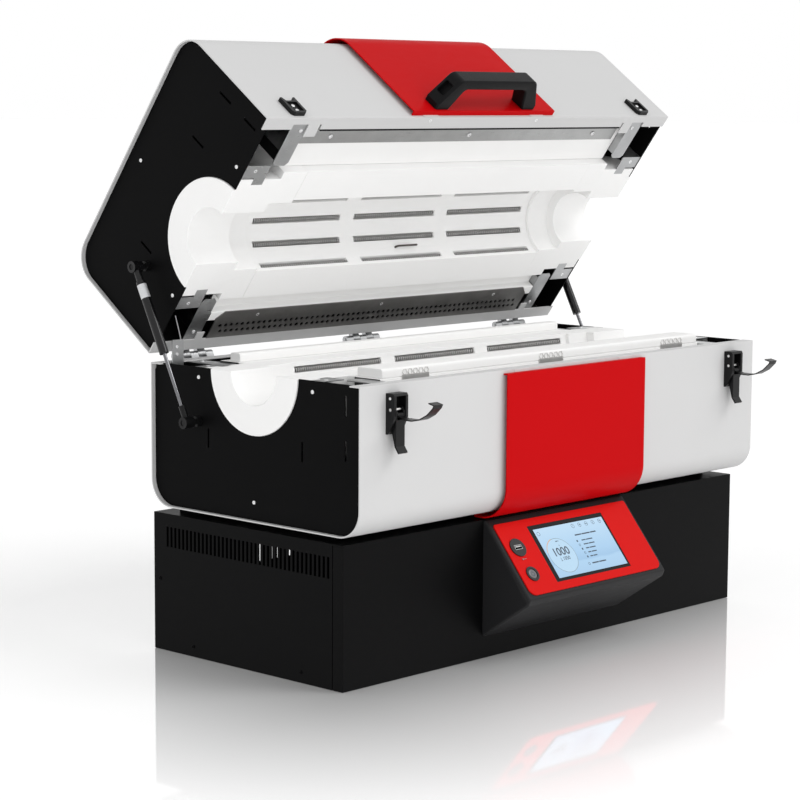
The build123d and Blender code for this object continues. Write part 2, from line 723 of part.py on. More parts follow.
with BuildPart() as pod:
    behind = face.offset(-fascia_sheet)
    slope_top = behind.from_local_coords(Vector(0, (pod_top - behind.origin.Z) / behind.y_dir.Z))
    nose = behind.from_local_coords(Vector(0, -fascia_height - 5))
    with BuildSketch(Plane.YZ.offset(-pod_width / 2)) as profile:
        with BuildLine():
            Polyline((-base_front, pod_top), (slope_top.Y, pod_top), (nose.Y, nose.Z), (nose.Y + 4, nose.Z - 9),
                     (-base_front, pod_foot), close=True)
        make_face()
        fillet(profile.vertices().group_by(Axis.X)[0], 3)
    extrude(amount=pod_width)
    fillet(pod.edges().filter_by(GeomType.LINE, reverse=False).filter_by(lambda edge: edge.center().Y < -175)
           .filter_by(lambda edge: abs(edge.center().X) > pod_width / 2 - 1 and edge.length > 60), 4)
    with BuildSketch(Plane.YZ.offset(-pod_width / 2 + pod_wall)):
        with BuildLine():
            Polyline((-base_front, pod_top - pod_wall), (slope_top.Y + 4, pod_top - pod_wall), (nose.Y + 6, nose.Z),
                     (nose.Y + 9, nose.Z - 7), (-base_front, pod_foot + 5), close=True)
        make_face()
    extrude(amount=pod_width - 2 * pod_wall, mode=Mode.SUBTRACT)
    with BuildSketch(behind):
        with Locations(display_centre):
            Rectangle(*display_size)
        with Locations(port_centre):
            Circle(port_radius)
        with Locations(button_centre):
            Circle(bezel_radius)
    extrude(amount=-8, mode=Mode.SUBTRACT)
write(pod, "control_pod")

with BuildPart() as fascia:
    with BuildSketch(behind) as red_face:
        with Locations((0, -fascia_height / 2)):
            Rectangle(fascia_width, fascia_height)
        fillet(red_face.vertices().group_by(Axis.Y)[0], 12)
        fillet(red_face.vertices().group_by(Axis.Y)[-1], 4)
        with Locations(display_centre):
            Rectangle(*display_size, mode=Mode.SUBTRACT)
        with Locations(port_centre):
            Circle(port_radius, mode=Mode.SUBTRACT)
        with Locations(button_centre):
            Circle(bezel_radius, mode=Mode.SUBTRACT)
    extrude(amount=fascia_sheet)
write(fascia, "control_fascia")

with BuildPart() as display:
    with BuildSketch(face.offset(-6)):
        with Locations(display_centre):
            Rectangle(*display_size)
    extrude(amount=5.5)
write(display, "display_panel")

with BuildPart() as port:
    with BuildSketch(face.offset(-18)):
        with Locations(port_centre):
            Circle(port_radius)
    extrude(amount=18)
    with BuildSketch(face):
        with Locations(port_centre):
            Circle(port_radius + 1.5)
    extrude(amount=1.6)
    with BuildSketch(face.offset(1.6)):
        with Locations(port_centre):
            Rectangle(13, 5.6)
            with Locations((0, 1.0)):
                Rectangle(11, 2.2, mode=Mode.SUBTRACT)
    extrude(amount=-11, mode=Mode.SUBTRACT)
write(port, "usb_port")

cap_radius, press_travel = 7.6, 2.0
with BuildPart() as bezel:
    for start, amount, radius in ((-18, 18, bezel_radius), (0, 1.6, bezel_radius + 1.6)):
        with BuildSketch(face.offset(start)):
            with Locations(button_centre):
                Circle(radius)
        extrude(amount=amount)
    with BuildSketch(face.offset(-14)):
        with Locations(button_centre):
            Circle(cap_radius + 0.1)
    extrude(amount=20, mode=Mode.SUBTRACT)
write(bezel, "switch_bezel")

with BuildPart() as button:
    with BuildSketch(face.offset(-11.5)):
        with Locations(button_centre):
            Circle(cap_radius)
    extrude(amount=12.5)
    chamfer(button.faces().sort_by(Axis(face.origin, face.z_dir))[-1].edges(), 0.8)
write(button, "standby_button")

# ---- inside the base ----
with BuildPart() as controller:
    with Locations((-200, 30, sheet + 12)):
        Box(180, 120, 2)
    with Locations((-200, 30, sheet)):
        with GridLocations(160, 100, 2, 2):
            Box(7, 7, 11, align=(Align.CENTER, Align.CENTER, Align.MIN))
    with Locations((-240, 40, sheet + 13), (-170, 60, sheet + 13), (-180, 0, sheet + 13)):
        Box(40, 30, 16, align=(Align.CENTER, Align.CENTER, Align.MIN))
write(controller, "controller_board")

with BuildPart() as thyristor:
    with BuildSketch(Plane.YZ.offset(60)):
        with Locations((40, sheet + 5)):
            Rectangle(120, 10)
        with Locations((40, sheet + 30)):
            with GridLocations(10, 1, 12, 1):
                Rectangle(3, 46)
    extrude(amount=120)
write(thyristor, "thyristor_heat_sink")
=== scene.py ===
import json
import math

import bmesh
import bpy
from mathutils import Matrix, Vector

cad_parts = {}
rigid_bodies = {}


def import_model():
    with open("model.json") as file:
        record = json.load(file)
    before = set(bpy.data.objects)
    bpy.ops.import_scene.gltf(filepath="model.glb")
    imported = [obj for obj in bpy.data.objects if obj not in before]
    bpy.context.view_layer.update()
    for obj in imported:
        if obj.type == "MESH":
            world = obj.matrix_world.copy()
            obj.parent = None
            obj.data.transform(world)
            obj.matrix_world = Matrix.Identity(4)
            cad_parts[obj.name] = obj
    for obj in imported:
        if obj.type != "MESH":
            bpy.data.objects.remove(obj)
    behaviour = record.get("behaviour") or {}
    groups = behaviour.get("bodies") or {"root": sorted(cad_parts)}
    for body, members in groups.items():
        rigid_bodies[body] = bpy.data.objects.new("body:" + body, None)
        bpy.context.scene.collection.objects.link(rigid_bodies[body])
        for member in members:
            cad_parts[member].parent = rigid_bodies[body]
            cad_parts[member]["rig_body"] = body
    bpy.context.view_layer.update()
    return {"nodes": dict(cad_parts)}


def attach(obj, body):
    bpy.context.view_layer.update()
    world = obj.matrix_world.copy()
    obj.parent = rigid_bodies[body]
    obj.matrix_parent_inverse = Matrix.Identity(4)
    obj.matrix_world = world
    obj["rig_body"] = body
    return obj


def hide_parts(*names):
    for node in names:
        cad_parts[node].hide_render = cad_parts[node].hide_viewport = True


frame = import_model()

nodes = frame["nodes"]
print("frame loaded,", len(nodes), "nodes")

mm = 0.001

# sizes that several pieces share, in millimetres and degrees
furnace = {
    "partingHeight": 400.0,
    "hingeY": 212.0,
    "hingeZ": 402.0,
    "openAngle": 53.7,
    "plateFace": 419.0,
    "fasciaSlope": 50.8,
    "fasciaCorner": (-143.0, -178.0, 185.5),
}

hingePoint = Vector((0, furnace["hingeY"], furnace["hingeZ"])) * mm
lidOpening = (Matrix.Translation(hingePoint)
              @ Matrix.Rotation(math.radians(-furnace["openAngle"]), 4, "X")
              @ Matrix.Translation(-hingePoint))


def onLid(x, y, height):
    # a point of the lid, given where it lies with the lid shut, carried to the open lid
    return lidOpening @ (Vector((x, y, furnace["partingHeight"] + height)) * mm)


def lidWay(direction):
    return (lidOpening.to_3x3() @ Vector(direction)).normalized()


slope = math.radians(furnace["fasciaSlope"])
fasciaNormal = Vector((0, -math.sin(slope), math.cos(slope)))
fasciaUp = Vector((0, math.cos(slope), math.sin(slope)))


def onFascia(x, down, lift=0.0):
    # a point on the sloping control face, from its top left corner
    corner = Vector(furnace["fasciaCorner"])
    return (corner + Vector((x, 0, 0)) - fasciaUp * down + fasciaNormal * lift) * mm


class Signal:
    def __init__(self, board, socket):
        self.board = board
        self.socket = socket

    def __add__(self, other):
        return self.board.sum("ADD", self, other)

    def __radd__(self, other):
        return self.board.sum("ADD", other, self)

    def __sub__(self, other):
        return self.board.sum("SUBTRACT", self, other)

    def __rsub__(self, other):
        return self.board.sum("SUBTRACT", other, self)

    def __mul__(self, other):
        return self.board.sum("MULTIPLY", self, other)

    def __rmul__(self, other):
        return self.board.sum("MULTIPLY", other, self)

    def __truediv__(self, other):
        return self.board.sum("DIVIDE", self, other)

    def __rtruediv__(self, other):
        return self.board.sum("DIVIDE", other, self)

    def above(self, least):
        return self.board.sum("MAXIMUM", self, least)

    def root(self):
        return self.board.sum("SQRT", self, 0.0)

    def sine(self):
        return self.board.sum("SINE", self, 0.0)

    def size(self):
        return self.board.sum("ABSOLUTE", self, 0.0)


class Board:
    # one material, with its principled shader and a short way to add nodes
    def __init__(self, name):
        self.material = bpy.data.materials.new(name)
        self.material.use_nodes = True
        self.tree = self.material.node_tree
        self.shader = self.tree.nodes["Principled BSDF"]

    def plug(self, socket, value):
        if isinstance(value, Signal):
            self.tree.links.new(value.socket, socket)
        elif isinstance(value, tuple) and len(value) == 3 and socket.type == "RGBA":
            socket.default_value = (*value, 1.0)
        else:
            socket.default_value = value

    def node(self, kind, settings, inputs, outlet=0):
        item = self.tree.nodes.new(kind)
        for key, setting in settings.items():
            if key == "stops":
                while len(item.color_ramp.elements) < len(setting):
                    item.color_ramp.elements.new(1.0)
                for element, (place, colour) in zip(item.color_ramp.elements, setting):
                    element.position = place
                    element.color = (*colour, 1.0)
            else:
                setattr(item, key, setting)
        for key, value in inputs.items():
            self.plug(item.inputs[key], value)
        return Signal(self, item.outputs[outlet])

    def sum(self, operation, first, second):
        return self.node("ShaderNodeMath", {"operation": operation}, {0: first, 1: second})

    def place(self, stretch=(1, 1, 1)):
        where = self.node("ShaderNodeTexCoord", {}, {}, outlet="Object")
        return self.node("ShaderNodeMapping", {}, {"Vector": where, "Scale": stretch})

    def split(self, vector, part):
        return self.node("ShaderNodeSeparateXYZ", {}, {"Vector": vector}, outlet=part)

    def noise(self, where, scale, detail, rough):
        inputs = {"Vector": where, "Scale": scale, "Detail": detail, "Roughness": rough}
        return self.node("ShaderNodeTexNoise", {}, inputs)

    def cells(self, where, scale):
        inputs = {"Vector": where, "Scale": scale}
        return self.node("ShaderNodeTexVoronoi", {}, inputs, outlet="Distance")

    def blend(self, amount, first, second):
        # the colour sockets of a mix node are 6, 7 and outlet 2
        inputs = {0: amount, 6: first, 7: second}
        return self.node("ShaderNodeMix", {"data_type": "RGBA"}, inputs, outlet=2)

    def ramp(self, amount, *stops):
        return self.node("ShaderNodeValToRGB", {"stops": stops}, {"Fac": amount})

    def spread(self, amount, low, high):
        inputs = {"Value": amount, "To Min": low, "To Max": high}
        return self.node("ShaderNodeMapRange", {}, inputs)

    def relief(self, height, strength, distance):
        inputs = {"Height": height, "Strength": strength, "Distance": distance}
        return self.node("ShaderNodeBump", {}, inputs)

    def finish(self, **sockets):
        for key, value in sockets.items():
            self.plug(self.shader.inputs[key.replace("_", " ")], value)
        return self.material


# texture sizes, in repeats per metre
texture = {
    "paintCloud": 6.0,
    "paintPeel": 900.0,
    "paintRipple": 190.0,
    "paintRub": 14.0,
    "fibreFelt": 260.0,
    "fibreMottle": 22.0,
    "fibreHairs": 160.0,
    "fibrePits": 380.0,
    "wireScale": 420.0,
    "steelCloud": 38.0,
    "plasticPebble": 1500.0,
    "plasticDrift": 30.0,
    "glossStreak": 60.0,
    "screenGrid": 45.0,
    "inkSpeck": 500.0,
    "glassSmear": 24.0,
    "circuitTracks": 60.0,
    "bandScuff": 120.0,
    "floorHaze": 1.5,
}


def powderCoat(name, colour, deep, roughness, grain, specular):
    # baked powder paint: fine orange peel, slight clouding and a few soft handling marks
    board = Board(name)
    where = board.place()
    cloud = board.noise(where, texture["paintCloud"], detail=4.0, rough=0.6)
    peel = board.noise(where, texture["paintPeel"], detail=2.0, rough=0.5)
    ripple = board.noise(where, texture["paintRipple"], detail=2.0, rough=0.5)
    rub = board.noise(board.place((3, 3, 11)), texture["paintRub"], detail=5.0, rough=0.65)
    tint = board.blend(board.spread(cloud, 0.0, 1.0), deep, colour)
    shine = board.spread(rub, roughness - 0.07, roughness + 0.09)
    return board.finish(Base_Color=tint, Roughness=shine, Specular_IOR_Level=specular,
                        Normal=board.relief(peel * 0.6 + ripple, strength=grain, distance=0.0004))


def fibreBody(name, colour, shade, pitting):
    # vacuum-formed fibre: matt, faintly felted, with tiny pits and hairs
    board = Board(name)
    where = board.place()
    felt = board.noise(where, texture["fibreFelt"], detail=5.0, rough=0.65)
    mottled = board.noise(where, texture["fibreMottle"], detail=3.0, rough=0.55)
    hairs = board.noise(board.place((1, 7, 7)), texture["fibreHairs"], detail=3.0, rough=0.6)
    pits = board.cells(where, texture["fibrePits"])
    tint = board.blend(board.spread(mottled, 0.0, 1.0), shade, colour)
    height = felt * 0.7 + hairs * 0.5 + pits * pitting
    return board.finish(Base_Color=tint, Roughness=0.93, Specular_IOR_Level=0.18,
                        Normal=board.relief(height, strength=0.22, distance=0.0009))


coil = {
    "pitch": 0.0042,                     # metres along X from one winding to the next
    # tones across each turn, painted shade and light: the gap between turns, the flank and the
    # crest
    "gap": (0.010, 0.010, 0.011),
    "flankShade": (0.14, 0.138, 0.135),
    "litCrest": (0.62, 0.615, 0.60),
}


def heatingWire():
    # close windings of oxidised wire, with painted shade and light across each turn: near black in
    # the gaps, darker flanks, light crests; the scale noise is the oxide's own variation
    board = Board("oxidisedWireShadedTurns")
    where = board.place()
    along = board.split(where, "X")
    turns = (along * (2 * math.pi / coil["pitch"])).sine() * 0.5 + 0.5
    scale = board.noise(where, texture["wireScale"], detail=2.0, rough=0.6)
    tint = board.ramp(turns * 0.45 + scale * 0.55,
                      (0.30, coil["gap"]), (0.50, coil["flankShade"]), (0.68, coil["litCrest"]))
    return board.finish(Base_Color=tint, Roughness=board.spread(scale, 0.45, 0.8), Metallic=0.3,
                        Normal=board.relief(turns, strength=0.8, distance=0.0009))


def platedSteel(name, colour, dark, roughness, brushed, way=(1, 1, 1)):
    # zinc or plain steel: fine lines along one way, soft clouding
    board = Board(name)
    lines = board.noise(board.place(way), brushed, detail=3.0, rough=0.6)
    cloud = board.noise(board.place(), texture["steelCloud"], detail=4.0, rough=0.6)
    tint = board.blend(board.spread(cloud, 0.0, 1.0), dark, colour)
    shine = board.spread(lines, roughness - 0.1, roughness + 0.12)
    return board.finish(Base_Color=tint, Metallic=1.0, Roughness=shine,
                        Normal=board.relief(lines, strength=0.12, distance=0.0002))


def mouldedPlastic(name, colour, roughness, grain, specular):
    # moulded plastic with a spark-eroded grain
    board = Board(name)
    where = board.place()
    pebble = board.cells(where, texture["plasticPebble"])
    drift = board.noise(where, texture["plasticDrift"], detail=3.0, rough=0.5)
    deep = tuple(part * 0.75 for part in colour)
    tint = board.blend(board.spread(drift, 0.0, 1.0), deep, colour)
    shine = board.spread(drift, roughness - 0.06, roughness + 0.06)
    return board.finish(Base_Color=tint, Roughness=shine, Specular_IOR_Level=specular,
                        Normal=board.relief(pebble, strength=grain, distance=0.0002))


def glossyPaint(name, colour, roughness):
    board = Board(name)
    streak = board.noise(board.place((1, 1, 0.2)), texture["glossStreak"], detail=3.0, rough=0.5)
    shine = board.spread(streak, roughness - 0.04, roughness + 0.06)
    return board.finish(Base_Color=colour, Roughness=shine, Specular_IOR_Level=0.3,
                        Coat_Weight=0.08,
                        Normal=board.relief(streak, strength=0.03, distance=0.0003))


screenGlow = {
    "foot": 0.107,          # height of the lit area's lower edge, in metres
    "rise": 0.066,          # from its lower to its upper edge
    "strength": 0.95,
    "unlit": (0.02, 0.02, 0.02),
    "tints": (              # share of the height, and colour
        (0.0, (0.36, 0.57, 0.80)),
        (0.30, (0.40, 0.63, 0.86)),
        (0.34, (0.33, 0.55, 0.79)),
        (0.48, (0.38, 0.61, 0.85)),
        (1.0, (0.50, 0.71, 0.90)),
    ),
}


def screenLight():
    # pale blue lit panel, deeper towards its lower edge, with a band behind the last line
    board = Board("screenLight")
    where = board.place()
    height = (board.split(where, "Z") - screenGlow["foot"]) / screenGlow["rise"]
    grid = board.noise(where, texture["screenGrid"], detail=2.0, rough=0.5)
    tint = board.ramp(height + grid * 0.08, *screenGlow["tints"])
    return board.finish(Base_Color=screenGlow["unlit"], Roughness=0.12, Emission_Color=tint,
                        Emission_Strength=screenGlow["strength"])


def screenInk(name, colour, glow):
    board = Board(name)
    speck = board.noise(board.place(), texture["inkSpeck"], detail=2.0, rough=0.5)
    deep = tuple(part * 0.8 for part in colour)
    tint = board.blend(board.spread(speck, 0.0, 0.5), colour, deep)
    return board.finish(Base_Color=screenGlow["unlit"], Roughness=0.2, Emission_Color=tint,
                        Emission_Strength=glow)


def darkGlass():
    board = Board("darkGlass")
    smear = board.noise(board.place((1, 4, 4)), texture["glassSmear"], detail=4.0, rough=0.6)
    return board.finish(Base_Color=(0.006, 0.006, 0.007), Specular_IOR_Level=0.15,
                        Roughness=board.spread(smear, 0.08, 0.16),
                        Normal=board.relief(smear, strength=0.01, distance=0.0002))


def circuitGreen():
    board = Board("circuitGreen")
    inputs = {"Vector": board.place((1, 1, 0)), "Scale": texture["circuitTracks"],
              "Mortar Size": 0.03}
    tracks = board.node("ShaderNodeTexBrick", {}, inputs, outlet="Fac")
    tint = board.blend(tracks, (0.008, 0.10, 0.035), (0.02, 0.17, 0.07))
    return board.finish(Base_Color=tint, Roughness=board.spread(tracks, 0.3, 0.5),
                        Normal=board.relief(tracks, strength=0.2, distance=0.0002))


def blankBand():
    # plain metal-foil band, its only marks are light scuffs
    board = Board("blankBand")
    scuff = board.noise(board.place((1, 1, 5)), texture["bandScuff"], detail=4.0, rough=0.65)
    tint = board.blend(board.spread(scuff, 0.0, 1.0), (0.52, 0.53, 0.54), (0.74, 0.75, 0.76))
    return board.finish(Base_Color=tint, Roughness=board.spread(scuff, 0.3, 0.5), Metallic=0.25)


polishedFloor = {
    "halfWidth": 0.42,      # the fully polished patch under the furnace, in metres
    "halfDepth": 0.185,
    "middleY": 0.015,
    "polish": 0.64,         # share of mirror in the patch
    "fade": 1.1,            # how much of it goes per metre away from the patch
    "blur": 0.04,
    "glow": 0.22,
}


def floorFinish():
    # pale studio floor, polished where the furnace stands and duller away from it
    board = Board("paleFloor")
    where = board.place()
    haze = board.noise(where, texture["floorHaze"], detail=2.0, rough=0.5)
    tint = board.blend(haze, (0.90, 0.90, 0.90), (0.92, 0.92, 0.92))
    board.finish(Base_Color=tint, Roughness=0.6, Specular_IOR_Level=0.2,
                 Emission_Color=(1.0, 1.0, 1.0), Emission_Strength=polishedFloor["glow"])
    offset = board.split(where, "Y") - polishedFloor["middleY"]
    beside = (board.split(where, "X").size() - polishedFloor["halfWidth"]).above(0.0)
    before = (offset.size() - polishedFloor["halfDepth"]).above(0.0)
    away = (beside * beside + before * before).root()
    polish = (polishedFloor["polish"] - away * polishedFloor["fade"]).above(0.0)
    mirror = board.node("ShaderNodeBsdfAnisotropic", {},
                        {"Color": (1.0, 1.0, 1.0), "Roughness": polishedFloor["blur"]})
    mixed = board.node("ShaderNodeMixShader", {}, {0: polish, 2: mirror})
    board.tree.links.new(board.shader.outputs[0], mixed.socket.node.inputs[1])
    board.tree.links.new(mixed.socket, board.tree.nodes["Material Output"].inputs["Surface"])
    return board.material


finishes = {
    "shell": powderCoat("greyPowderCoat", (0.62, 0.62, 0.62), (0.60, 0.60, 0.60),
                        roughness=0.5, grain=0.06, specular=0.2),
    "black": powderCoat("blackPowderCoat", (0.0042, 0.0042, 0.0044), (0.003, 0.003, 0.0032),
                        roughness=0.45, grain=0.08, specular=0.03),
    "baseBlack": powderCoat("blackBaseCoat", (0.0030, 0.0030, 0.0032), (0.0022, 0.0022, 0.0024),
                            roughness=0.40, grain=0.08, specular=0.05),
    "pod": powderCoat("charcoalPodCoat", (0.020, 0.020, 0.021), (0.016, 0.016, 0.017),
                      roughness=0.45, grain=0.08, specular=0.12),
    "red": powderCoat("redPowderCoat", (0.53, 0.0020, 0.0040), (0.51, 0.0018, 0.0036),
                      roughness=0.42, grain=0.05, specular=0.03),
    "fascia": powderCoat("redFasciaCoat", (0.64, 0.006, 0.005), (0.61, 0.005, 0.004),
                         roughness=0.36, grain=0.03, specular=0.06),
    "board": fibreBody("fibreBoard", (0.94, 0.937, 0.93), (0.91, 0.907, 0.898), pitting=0.25),
    "heater": fibreBody("formedFibre", (0.95, 0.948, 0.942), (0.925, 0.922, 0.915), pitting=0.12),
    "plug": fibreBody("plugFibre", (0.945, 0.943, 0.937), (0.92, 0.917, 0.91), pitting=0.12),
    "wire": heatingWire(),
    # near black for faces deep inside the case: painted shade on the shell's inner faces and on
    # the fibre box's end faces
    "insideShade": powderCoat("nearBlackShadeInside", (0.012, 0.012, 0.0125), (0.008, 0.008, 0.0085),
                         roughness=0.5, grain=0.1, specular=0.3),
    "zinc": platedSteel("zincPlate", (0.50, 0.505, 0.51), (0.34, 0.345, 0.35),
                        roughness=0.30, brushed=70.0, way=(1, 8, 1)),
    "bright": platedSteel("brightZinc", (0.92, 0.92, 0.925), (0.84, 0.84, 0.845),
                          roughness=0.42, brushed=60.0),
    "strip": platedSteel("brushedStrip", (0.46, 0.462, 0.46), (0.34, 0.342, 0.34),
                         roughness=0.30, brushed=90.0, way=(0.4, 9, 9)),
    "guard": platedSteel("darkGuardSteel", (0.30, 0.295, 0.285), (0.20, 0.195, 0.19),
                         roughness=0.40, brushed=70.0, way=(0.4, 6, 6)),
    "spring": platedSteel("springSteel", (0.86, 0.855, 0.84), (0.70, 0.69, 0.68),
                          roughness=0.34, brushed=120.0, way=(8, 1, 1)),
    "rod": platedSteel("polishedRod", (0.22, 0.22, 0.23), (0.15, 0.15, 0.16),
                       roughness=0.16, brushed=60.0, way=(9, 1, 1)),
    "grip": mouldedPlastic("blackGripPlastic", (0.0065, 0.0065, 0.007),
                           roughness=0.42, grain=0.25, specular=0.09),
    "latch": powderCoat("blackLatchCoat", (0.0065, 0.0065, 0.007), (0.005, 0.005, 0.0052),
                        roughness=0.30, grain=0.05, specular=0.2),
    "housing": mouldedPlastic("blackHousingPlastic", (0.006, 0.006, 0.0065),
                              roughness=0.38, grain=0.2, specular=0.2),
    "tube": glossyPaint("glossBlackTube", (0.005, 0.005, 0.0055), roughness=0.22),
    "bezel": mouldedPlastic("satinBlackBezel", (0.009, 0.009, 0.010),
                            roughness=0.28, grain=0.05, specular=0.35),
    "button": mouldedPlastic("greyButton", (0.15, 0.15, 0.155),
                             roughness=0.24, grain=0.03, specular=0.5),
    "glass": darkGlass(), "screen": screenLight(),
    "ink": screenInk("screenInk", (0.02, 0.045, 0.08), glow=1.0),
    "paleInk": screenInk("screenPaleInk", (0.47, 0.69, 0.88), glow=1.0),
    "lineInk": screenInk("screenLineInk", (0.20, 0.27, 0.31), glow=1.0),
    "amberInk": screenInk("screenAmberInk", (0.75, 0.40, 0.18), glow=1.0),
    "mark": screenInk("whiteMark", (0.80, 0.80, 0.80), glow=0.25),
    "circuit": circuitGreen(),
    # the heat sink is seen only through the base's vents, and is made near black so that they look
    # dark
    "sink": platedSteel("nearBlackSink", (0.03, 0.03, 0.032), (0.02, 0.02, 0.021),
                        roughness=0.42, brushed=80.0, way=(0.3, 8, 8)),
    "sheath": platedSteel("oxidisedSheath", (0.14, 0.125, 0.115), (0.07, 0.06, 0.055),
                          roughness=0.5, brushed=90.0, way=(1, 5, 5)),
    "band": blankBand(), "floor": floorFinish(),
}
print("finishes made,", len(finishes))


softening = {
    "join": 0.00001,        # corners closer than this are one, in metres
    "flat": 0.6,            # triangles within this angle make one face, in degrees
    "edgeAngle": 40.0,      # an edge sharper than this is softened
}


def settle(name, shape, finish, body, sharp=35.0, soften=0.0, steps=2, tidy=True):
    # turns a bmesh into a finished piece that rides on its body
    if tidy:
        bmesh.ops.recalc_face_normals(shape, faces=shape.faces[:])
    mesh = bpy.data.meshes.new(name)
    shape.to_mesh(mesh)
    shape.free()
    mesh.shade_smooth()
    mesh.set_sharp_from_angle(angle=math.radians(sharp))
    mesh.materials.append(finishes[finish])
    piece = bpy.data.objects.new(name, mesh)
    bpy.context.scene.collection.objects.link(piece)
    if soften:
        edge = piece.modifiers.new("softEdges", "BEVEL")
        edge.width = soften * mm
        edge.segments = steps
        edge.limit_method = "ANGLE"
        edge.angle_limit = math.radians(softening["edgeAngle"])
        edge.harden_normals = True
    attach(piece, body)
    return piece


def dress(node, finish, soften, steps=2, cuts=()):
    # a merged copy of a CAD node, with softened edges, in place of its bare triangles
    shape = bmesh.new()
    shape.from_mesh(nodes[node].data)
    bmesh.ops.remove_doubles(shape, verts=shape.verts[:], dist=softening["join"])
    bmesh.ops.dissolve_limit(shape, angle_limit=math.radians(softening["flat"]),
                             verts=shape.verts[:], edges=shape.edges[:])
    for x in cuts:
        # a line across, so that the two sides can have their own finish
        everything = shape.verts[:] + shape.edges[:] + shape.faces[:]
        bmesh.ops.bisect_plane(shape, geom=everything, dist=0.000001,
                               plane_co=(x * mm, 0, 0), plane_no=(1, 0, 0))
    piece = settle(node + "-dressed", shape, finish, nodes[node]["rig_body"],
                   soften=soften, steps=steps, tidy=False)
    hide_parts(node)
    return piece


def coat(node, finish):
    # a CAD node that stays, with a better finish
    slots = nodes[node].material_slots
    if not slots:
        nodes[node].data.materials.append(finishes[finish])
    for item in nodes[node].material_slots:
        item.material = finishes[finish]


def aim(place, outward, spin=0.0):
    # the matrix that carries a shape made on the floor to a place, its top facing outward
    turn = Vector(outward).to_track_quat("Z", "Y").to_matrix().to_4x4()
    return Matrix.Translation(Vector(place)) @ turn @ Matrix.Rotation(math.radians(spin), 4, "Z")


def move(shape, verts, matrix):
    bmesh.ops.transform(shape, matrix=matrix, verts=verts)


def addDisc(shape, radius, thick, matrix, sides):
    made = bmesh.ops.create_cone(shape, cap_ends=True, segments=sides, radius1=radius,
                                 radius2=radius, depth=thick)
    move(shape, made["verts"], matrix @ Matrix.Translation((0, 0, thick / 2)))
    return made["verts"]


def addBlock(shape, size, matrix):
    made = bmesh.ops.create_cube(shape, size=1.0)
    move(shape, made["verts"], matrix @ Matrix.Diagonal((*size, 1.0)))


screwHead = {
    "sides": 18,
    "turn": 17.0,           # each screw is turned this much further than the last, in degrees
    "dome": 0.45,           # rounded part, as a share of the head's height
    "rim": 0.22,            # flat ring round the socket, as a share of the radius
    "socket": 0.46,         # centre to flat of the socket, as a share of the radius
    "sunk": 0.7,            # depth of the socket, as a share of the height
    "steel": 30.0,          # angle over which an edge stays crisp, in degrees
}


def addScrew(shape, matrix, radius, height):
    # domed head with a hexagon socket
    head = addDisc(shape, radius, height, matrix, screwHead["sides"])
    inverse = matrix.inverted()

    def isTop(face):
        return min((inverse @ vert.co).z for vert in face.verts) > height * 0.99

    crown = [face for face in shape.faces
             if all(vert in head for vert in face.verts) and isTop(face)][0]
    bmesh.ops.bevel(shape, geom=list(crown.edges), offset=height * screwHead["dome"],
                    segments=3, profile=0.5, affect="EDGES", material=-1)
    flat = max((face for face in shape.faces
                if face.is_valid and len(face.verts) == screwHead["sides"] and isTop(face)),
               key=lambda face: face.calc_area())
    bmesh.ops.inset_individual(shape, faces=[flat], thickness=radius * screwHead["rim"])
    for vert in flat.verts:
        local = inverse @ vert.co
        angle = math.atan2(local.y, local.x) % (math.pi / 3) - math.pi / 6
        local.xy = local.xy.normalized() * radius * screwHead["socket"] / math.cos(angle)
        vert.co = matrix @ local
    sunk = bmesh.ops.extrude_discrete_faces(shape, faces=[flat])["faces"][0]
    depth = matrix.to_3x3() @ Vector((0, 0, -height * screwHead["sunk"]))
    bmesh.ops.translate(shape, verts=list(sunk.verts), vec=depth)


def screwSet(name, places, finish, body, radius, height, slot):
    # places are (point, outward) pairs
    shape = bmesh.new()
    for count, (place, outward) in enumerate(places):
        addScrew(shape, aim(place, outward, screwHead["turn"] * count), radius * mm, height * mm)
    piece = settle(name, shape, finish, body, sharp=screwHead["steel"])
    return piece


# edges of the case's pieces, and where their faces change finish, in millimetres
case = {
    "sheetEdge": 0.55,
    "plateEdge": 0.35,
    "fibreEdge": 1.4,
    "heaterEdge": 0.7,
    "boardEdge": 1.8,
    "railEdge": 1.0,
    "strapEdge": 0.25,
    "leafEdge": 0.3,
    "stripEdge": 0.2,
    "rimX": 417.0,                      # the shell's rims lie beyond this
    "lip": 2.45,                        # height over the parting plane
    "middle": 100.0,
    "boxEndX": 340.0,
    "tab": (6.9, -201.5),               # the red panel's tabs lie under this height, behind this y
    "shadowStrip": (636.0, 2.6, 2.0),          # near-black strip that paints the shadow of the gap at the lid's front flange: its three sizes
    "shadowStripPlace": (0.0, -179.7, 1.5),
}


def refinish(piece, finish, half, chosen):
    # faces picked by centre and normal, as they lie with the lid shut, get a second finish
    back = lidOpening.inverted() if half == "lid" else Matrix()
    piece.data.materials.append(finishes[finish])
    for face in piece.data.polygons:
        spot = back @ face.center / mm
        normal = back.to_3x3() @ face.normal
        if half == "body":
            normal.z = -normal.z
        spot.z = abs(spot.z - furnace["partingHeight"])
        if chosen(spot, normal):
            face.material_index = 1


# the shell's inner faces, which are painted near black as shade
def isInside(spot, normal):
    inward = Vector((0, -spot.y, case["middle"] - spot.z))
    return abs(spot.x) < case["rimX"] and spot.z > case["lip"] and normal.dot(inward) > 0


# the fibre box's end faces beside the end plates, which are painted near black as shade
def isBoxEnd(spot, normal):
    return abs(spot.x) > case["boxEndX"] and abs(normal.x) > 0.9


def isTab(spot, normal):
    height, front = case["tab"]
    return spot.z < height and spot.y > front


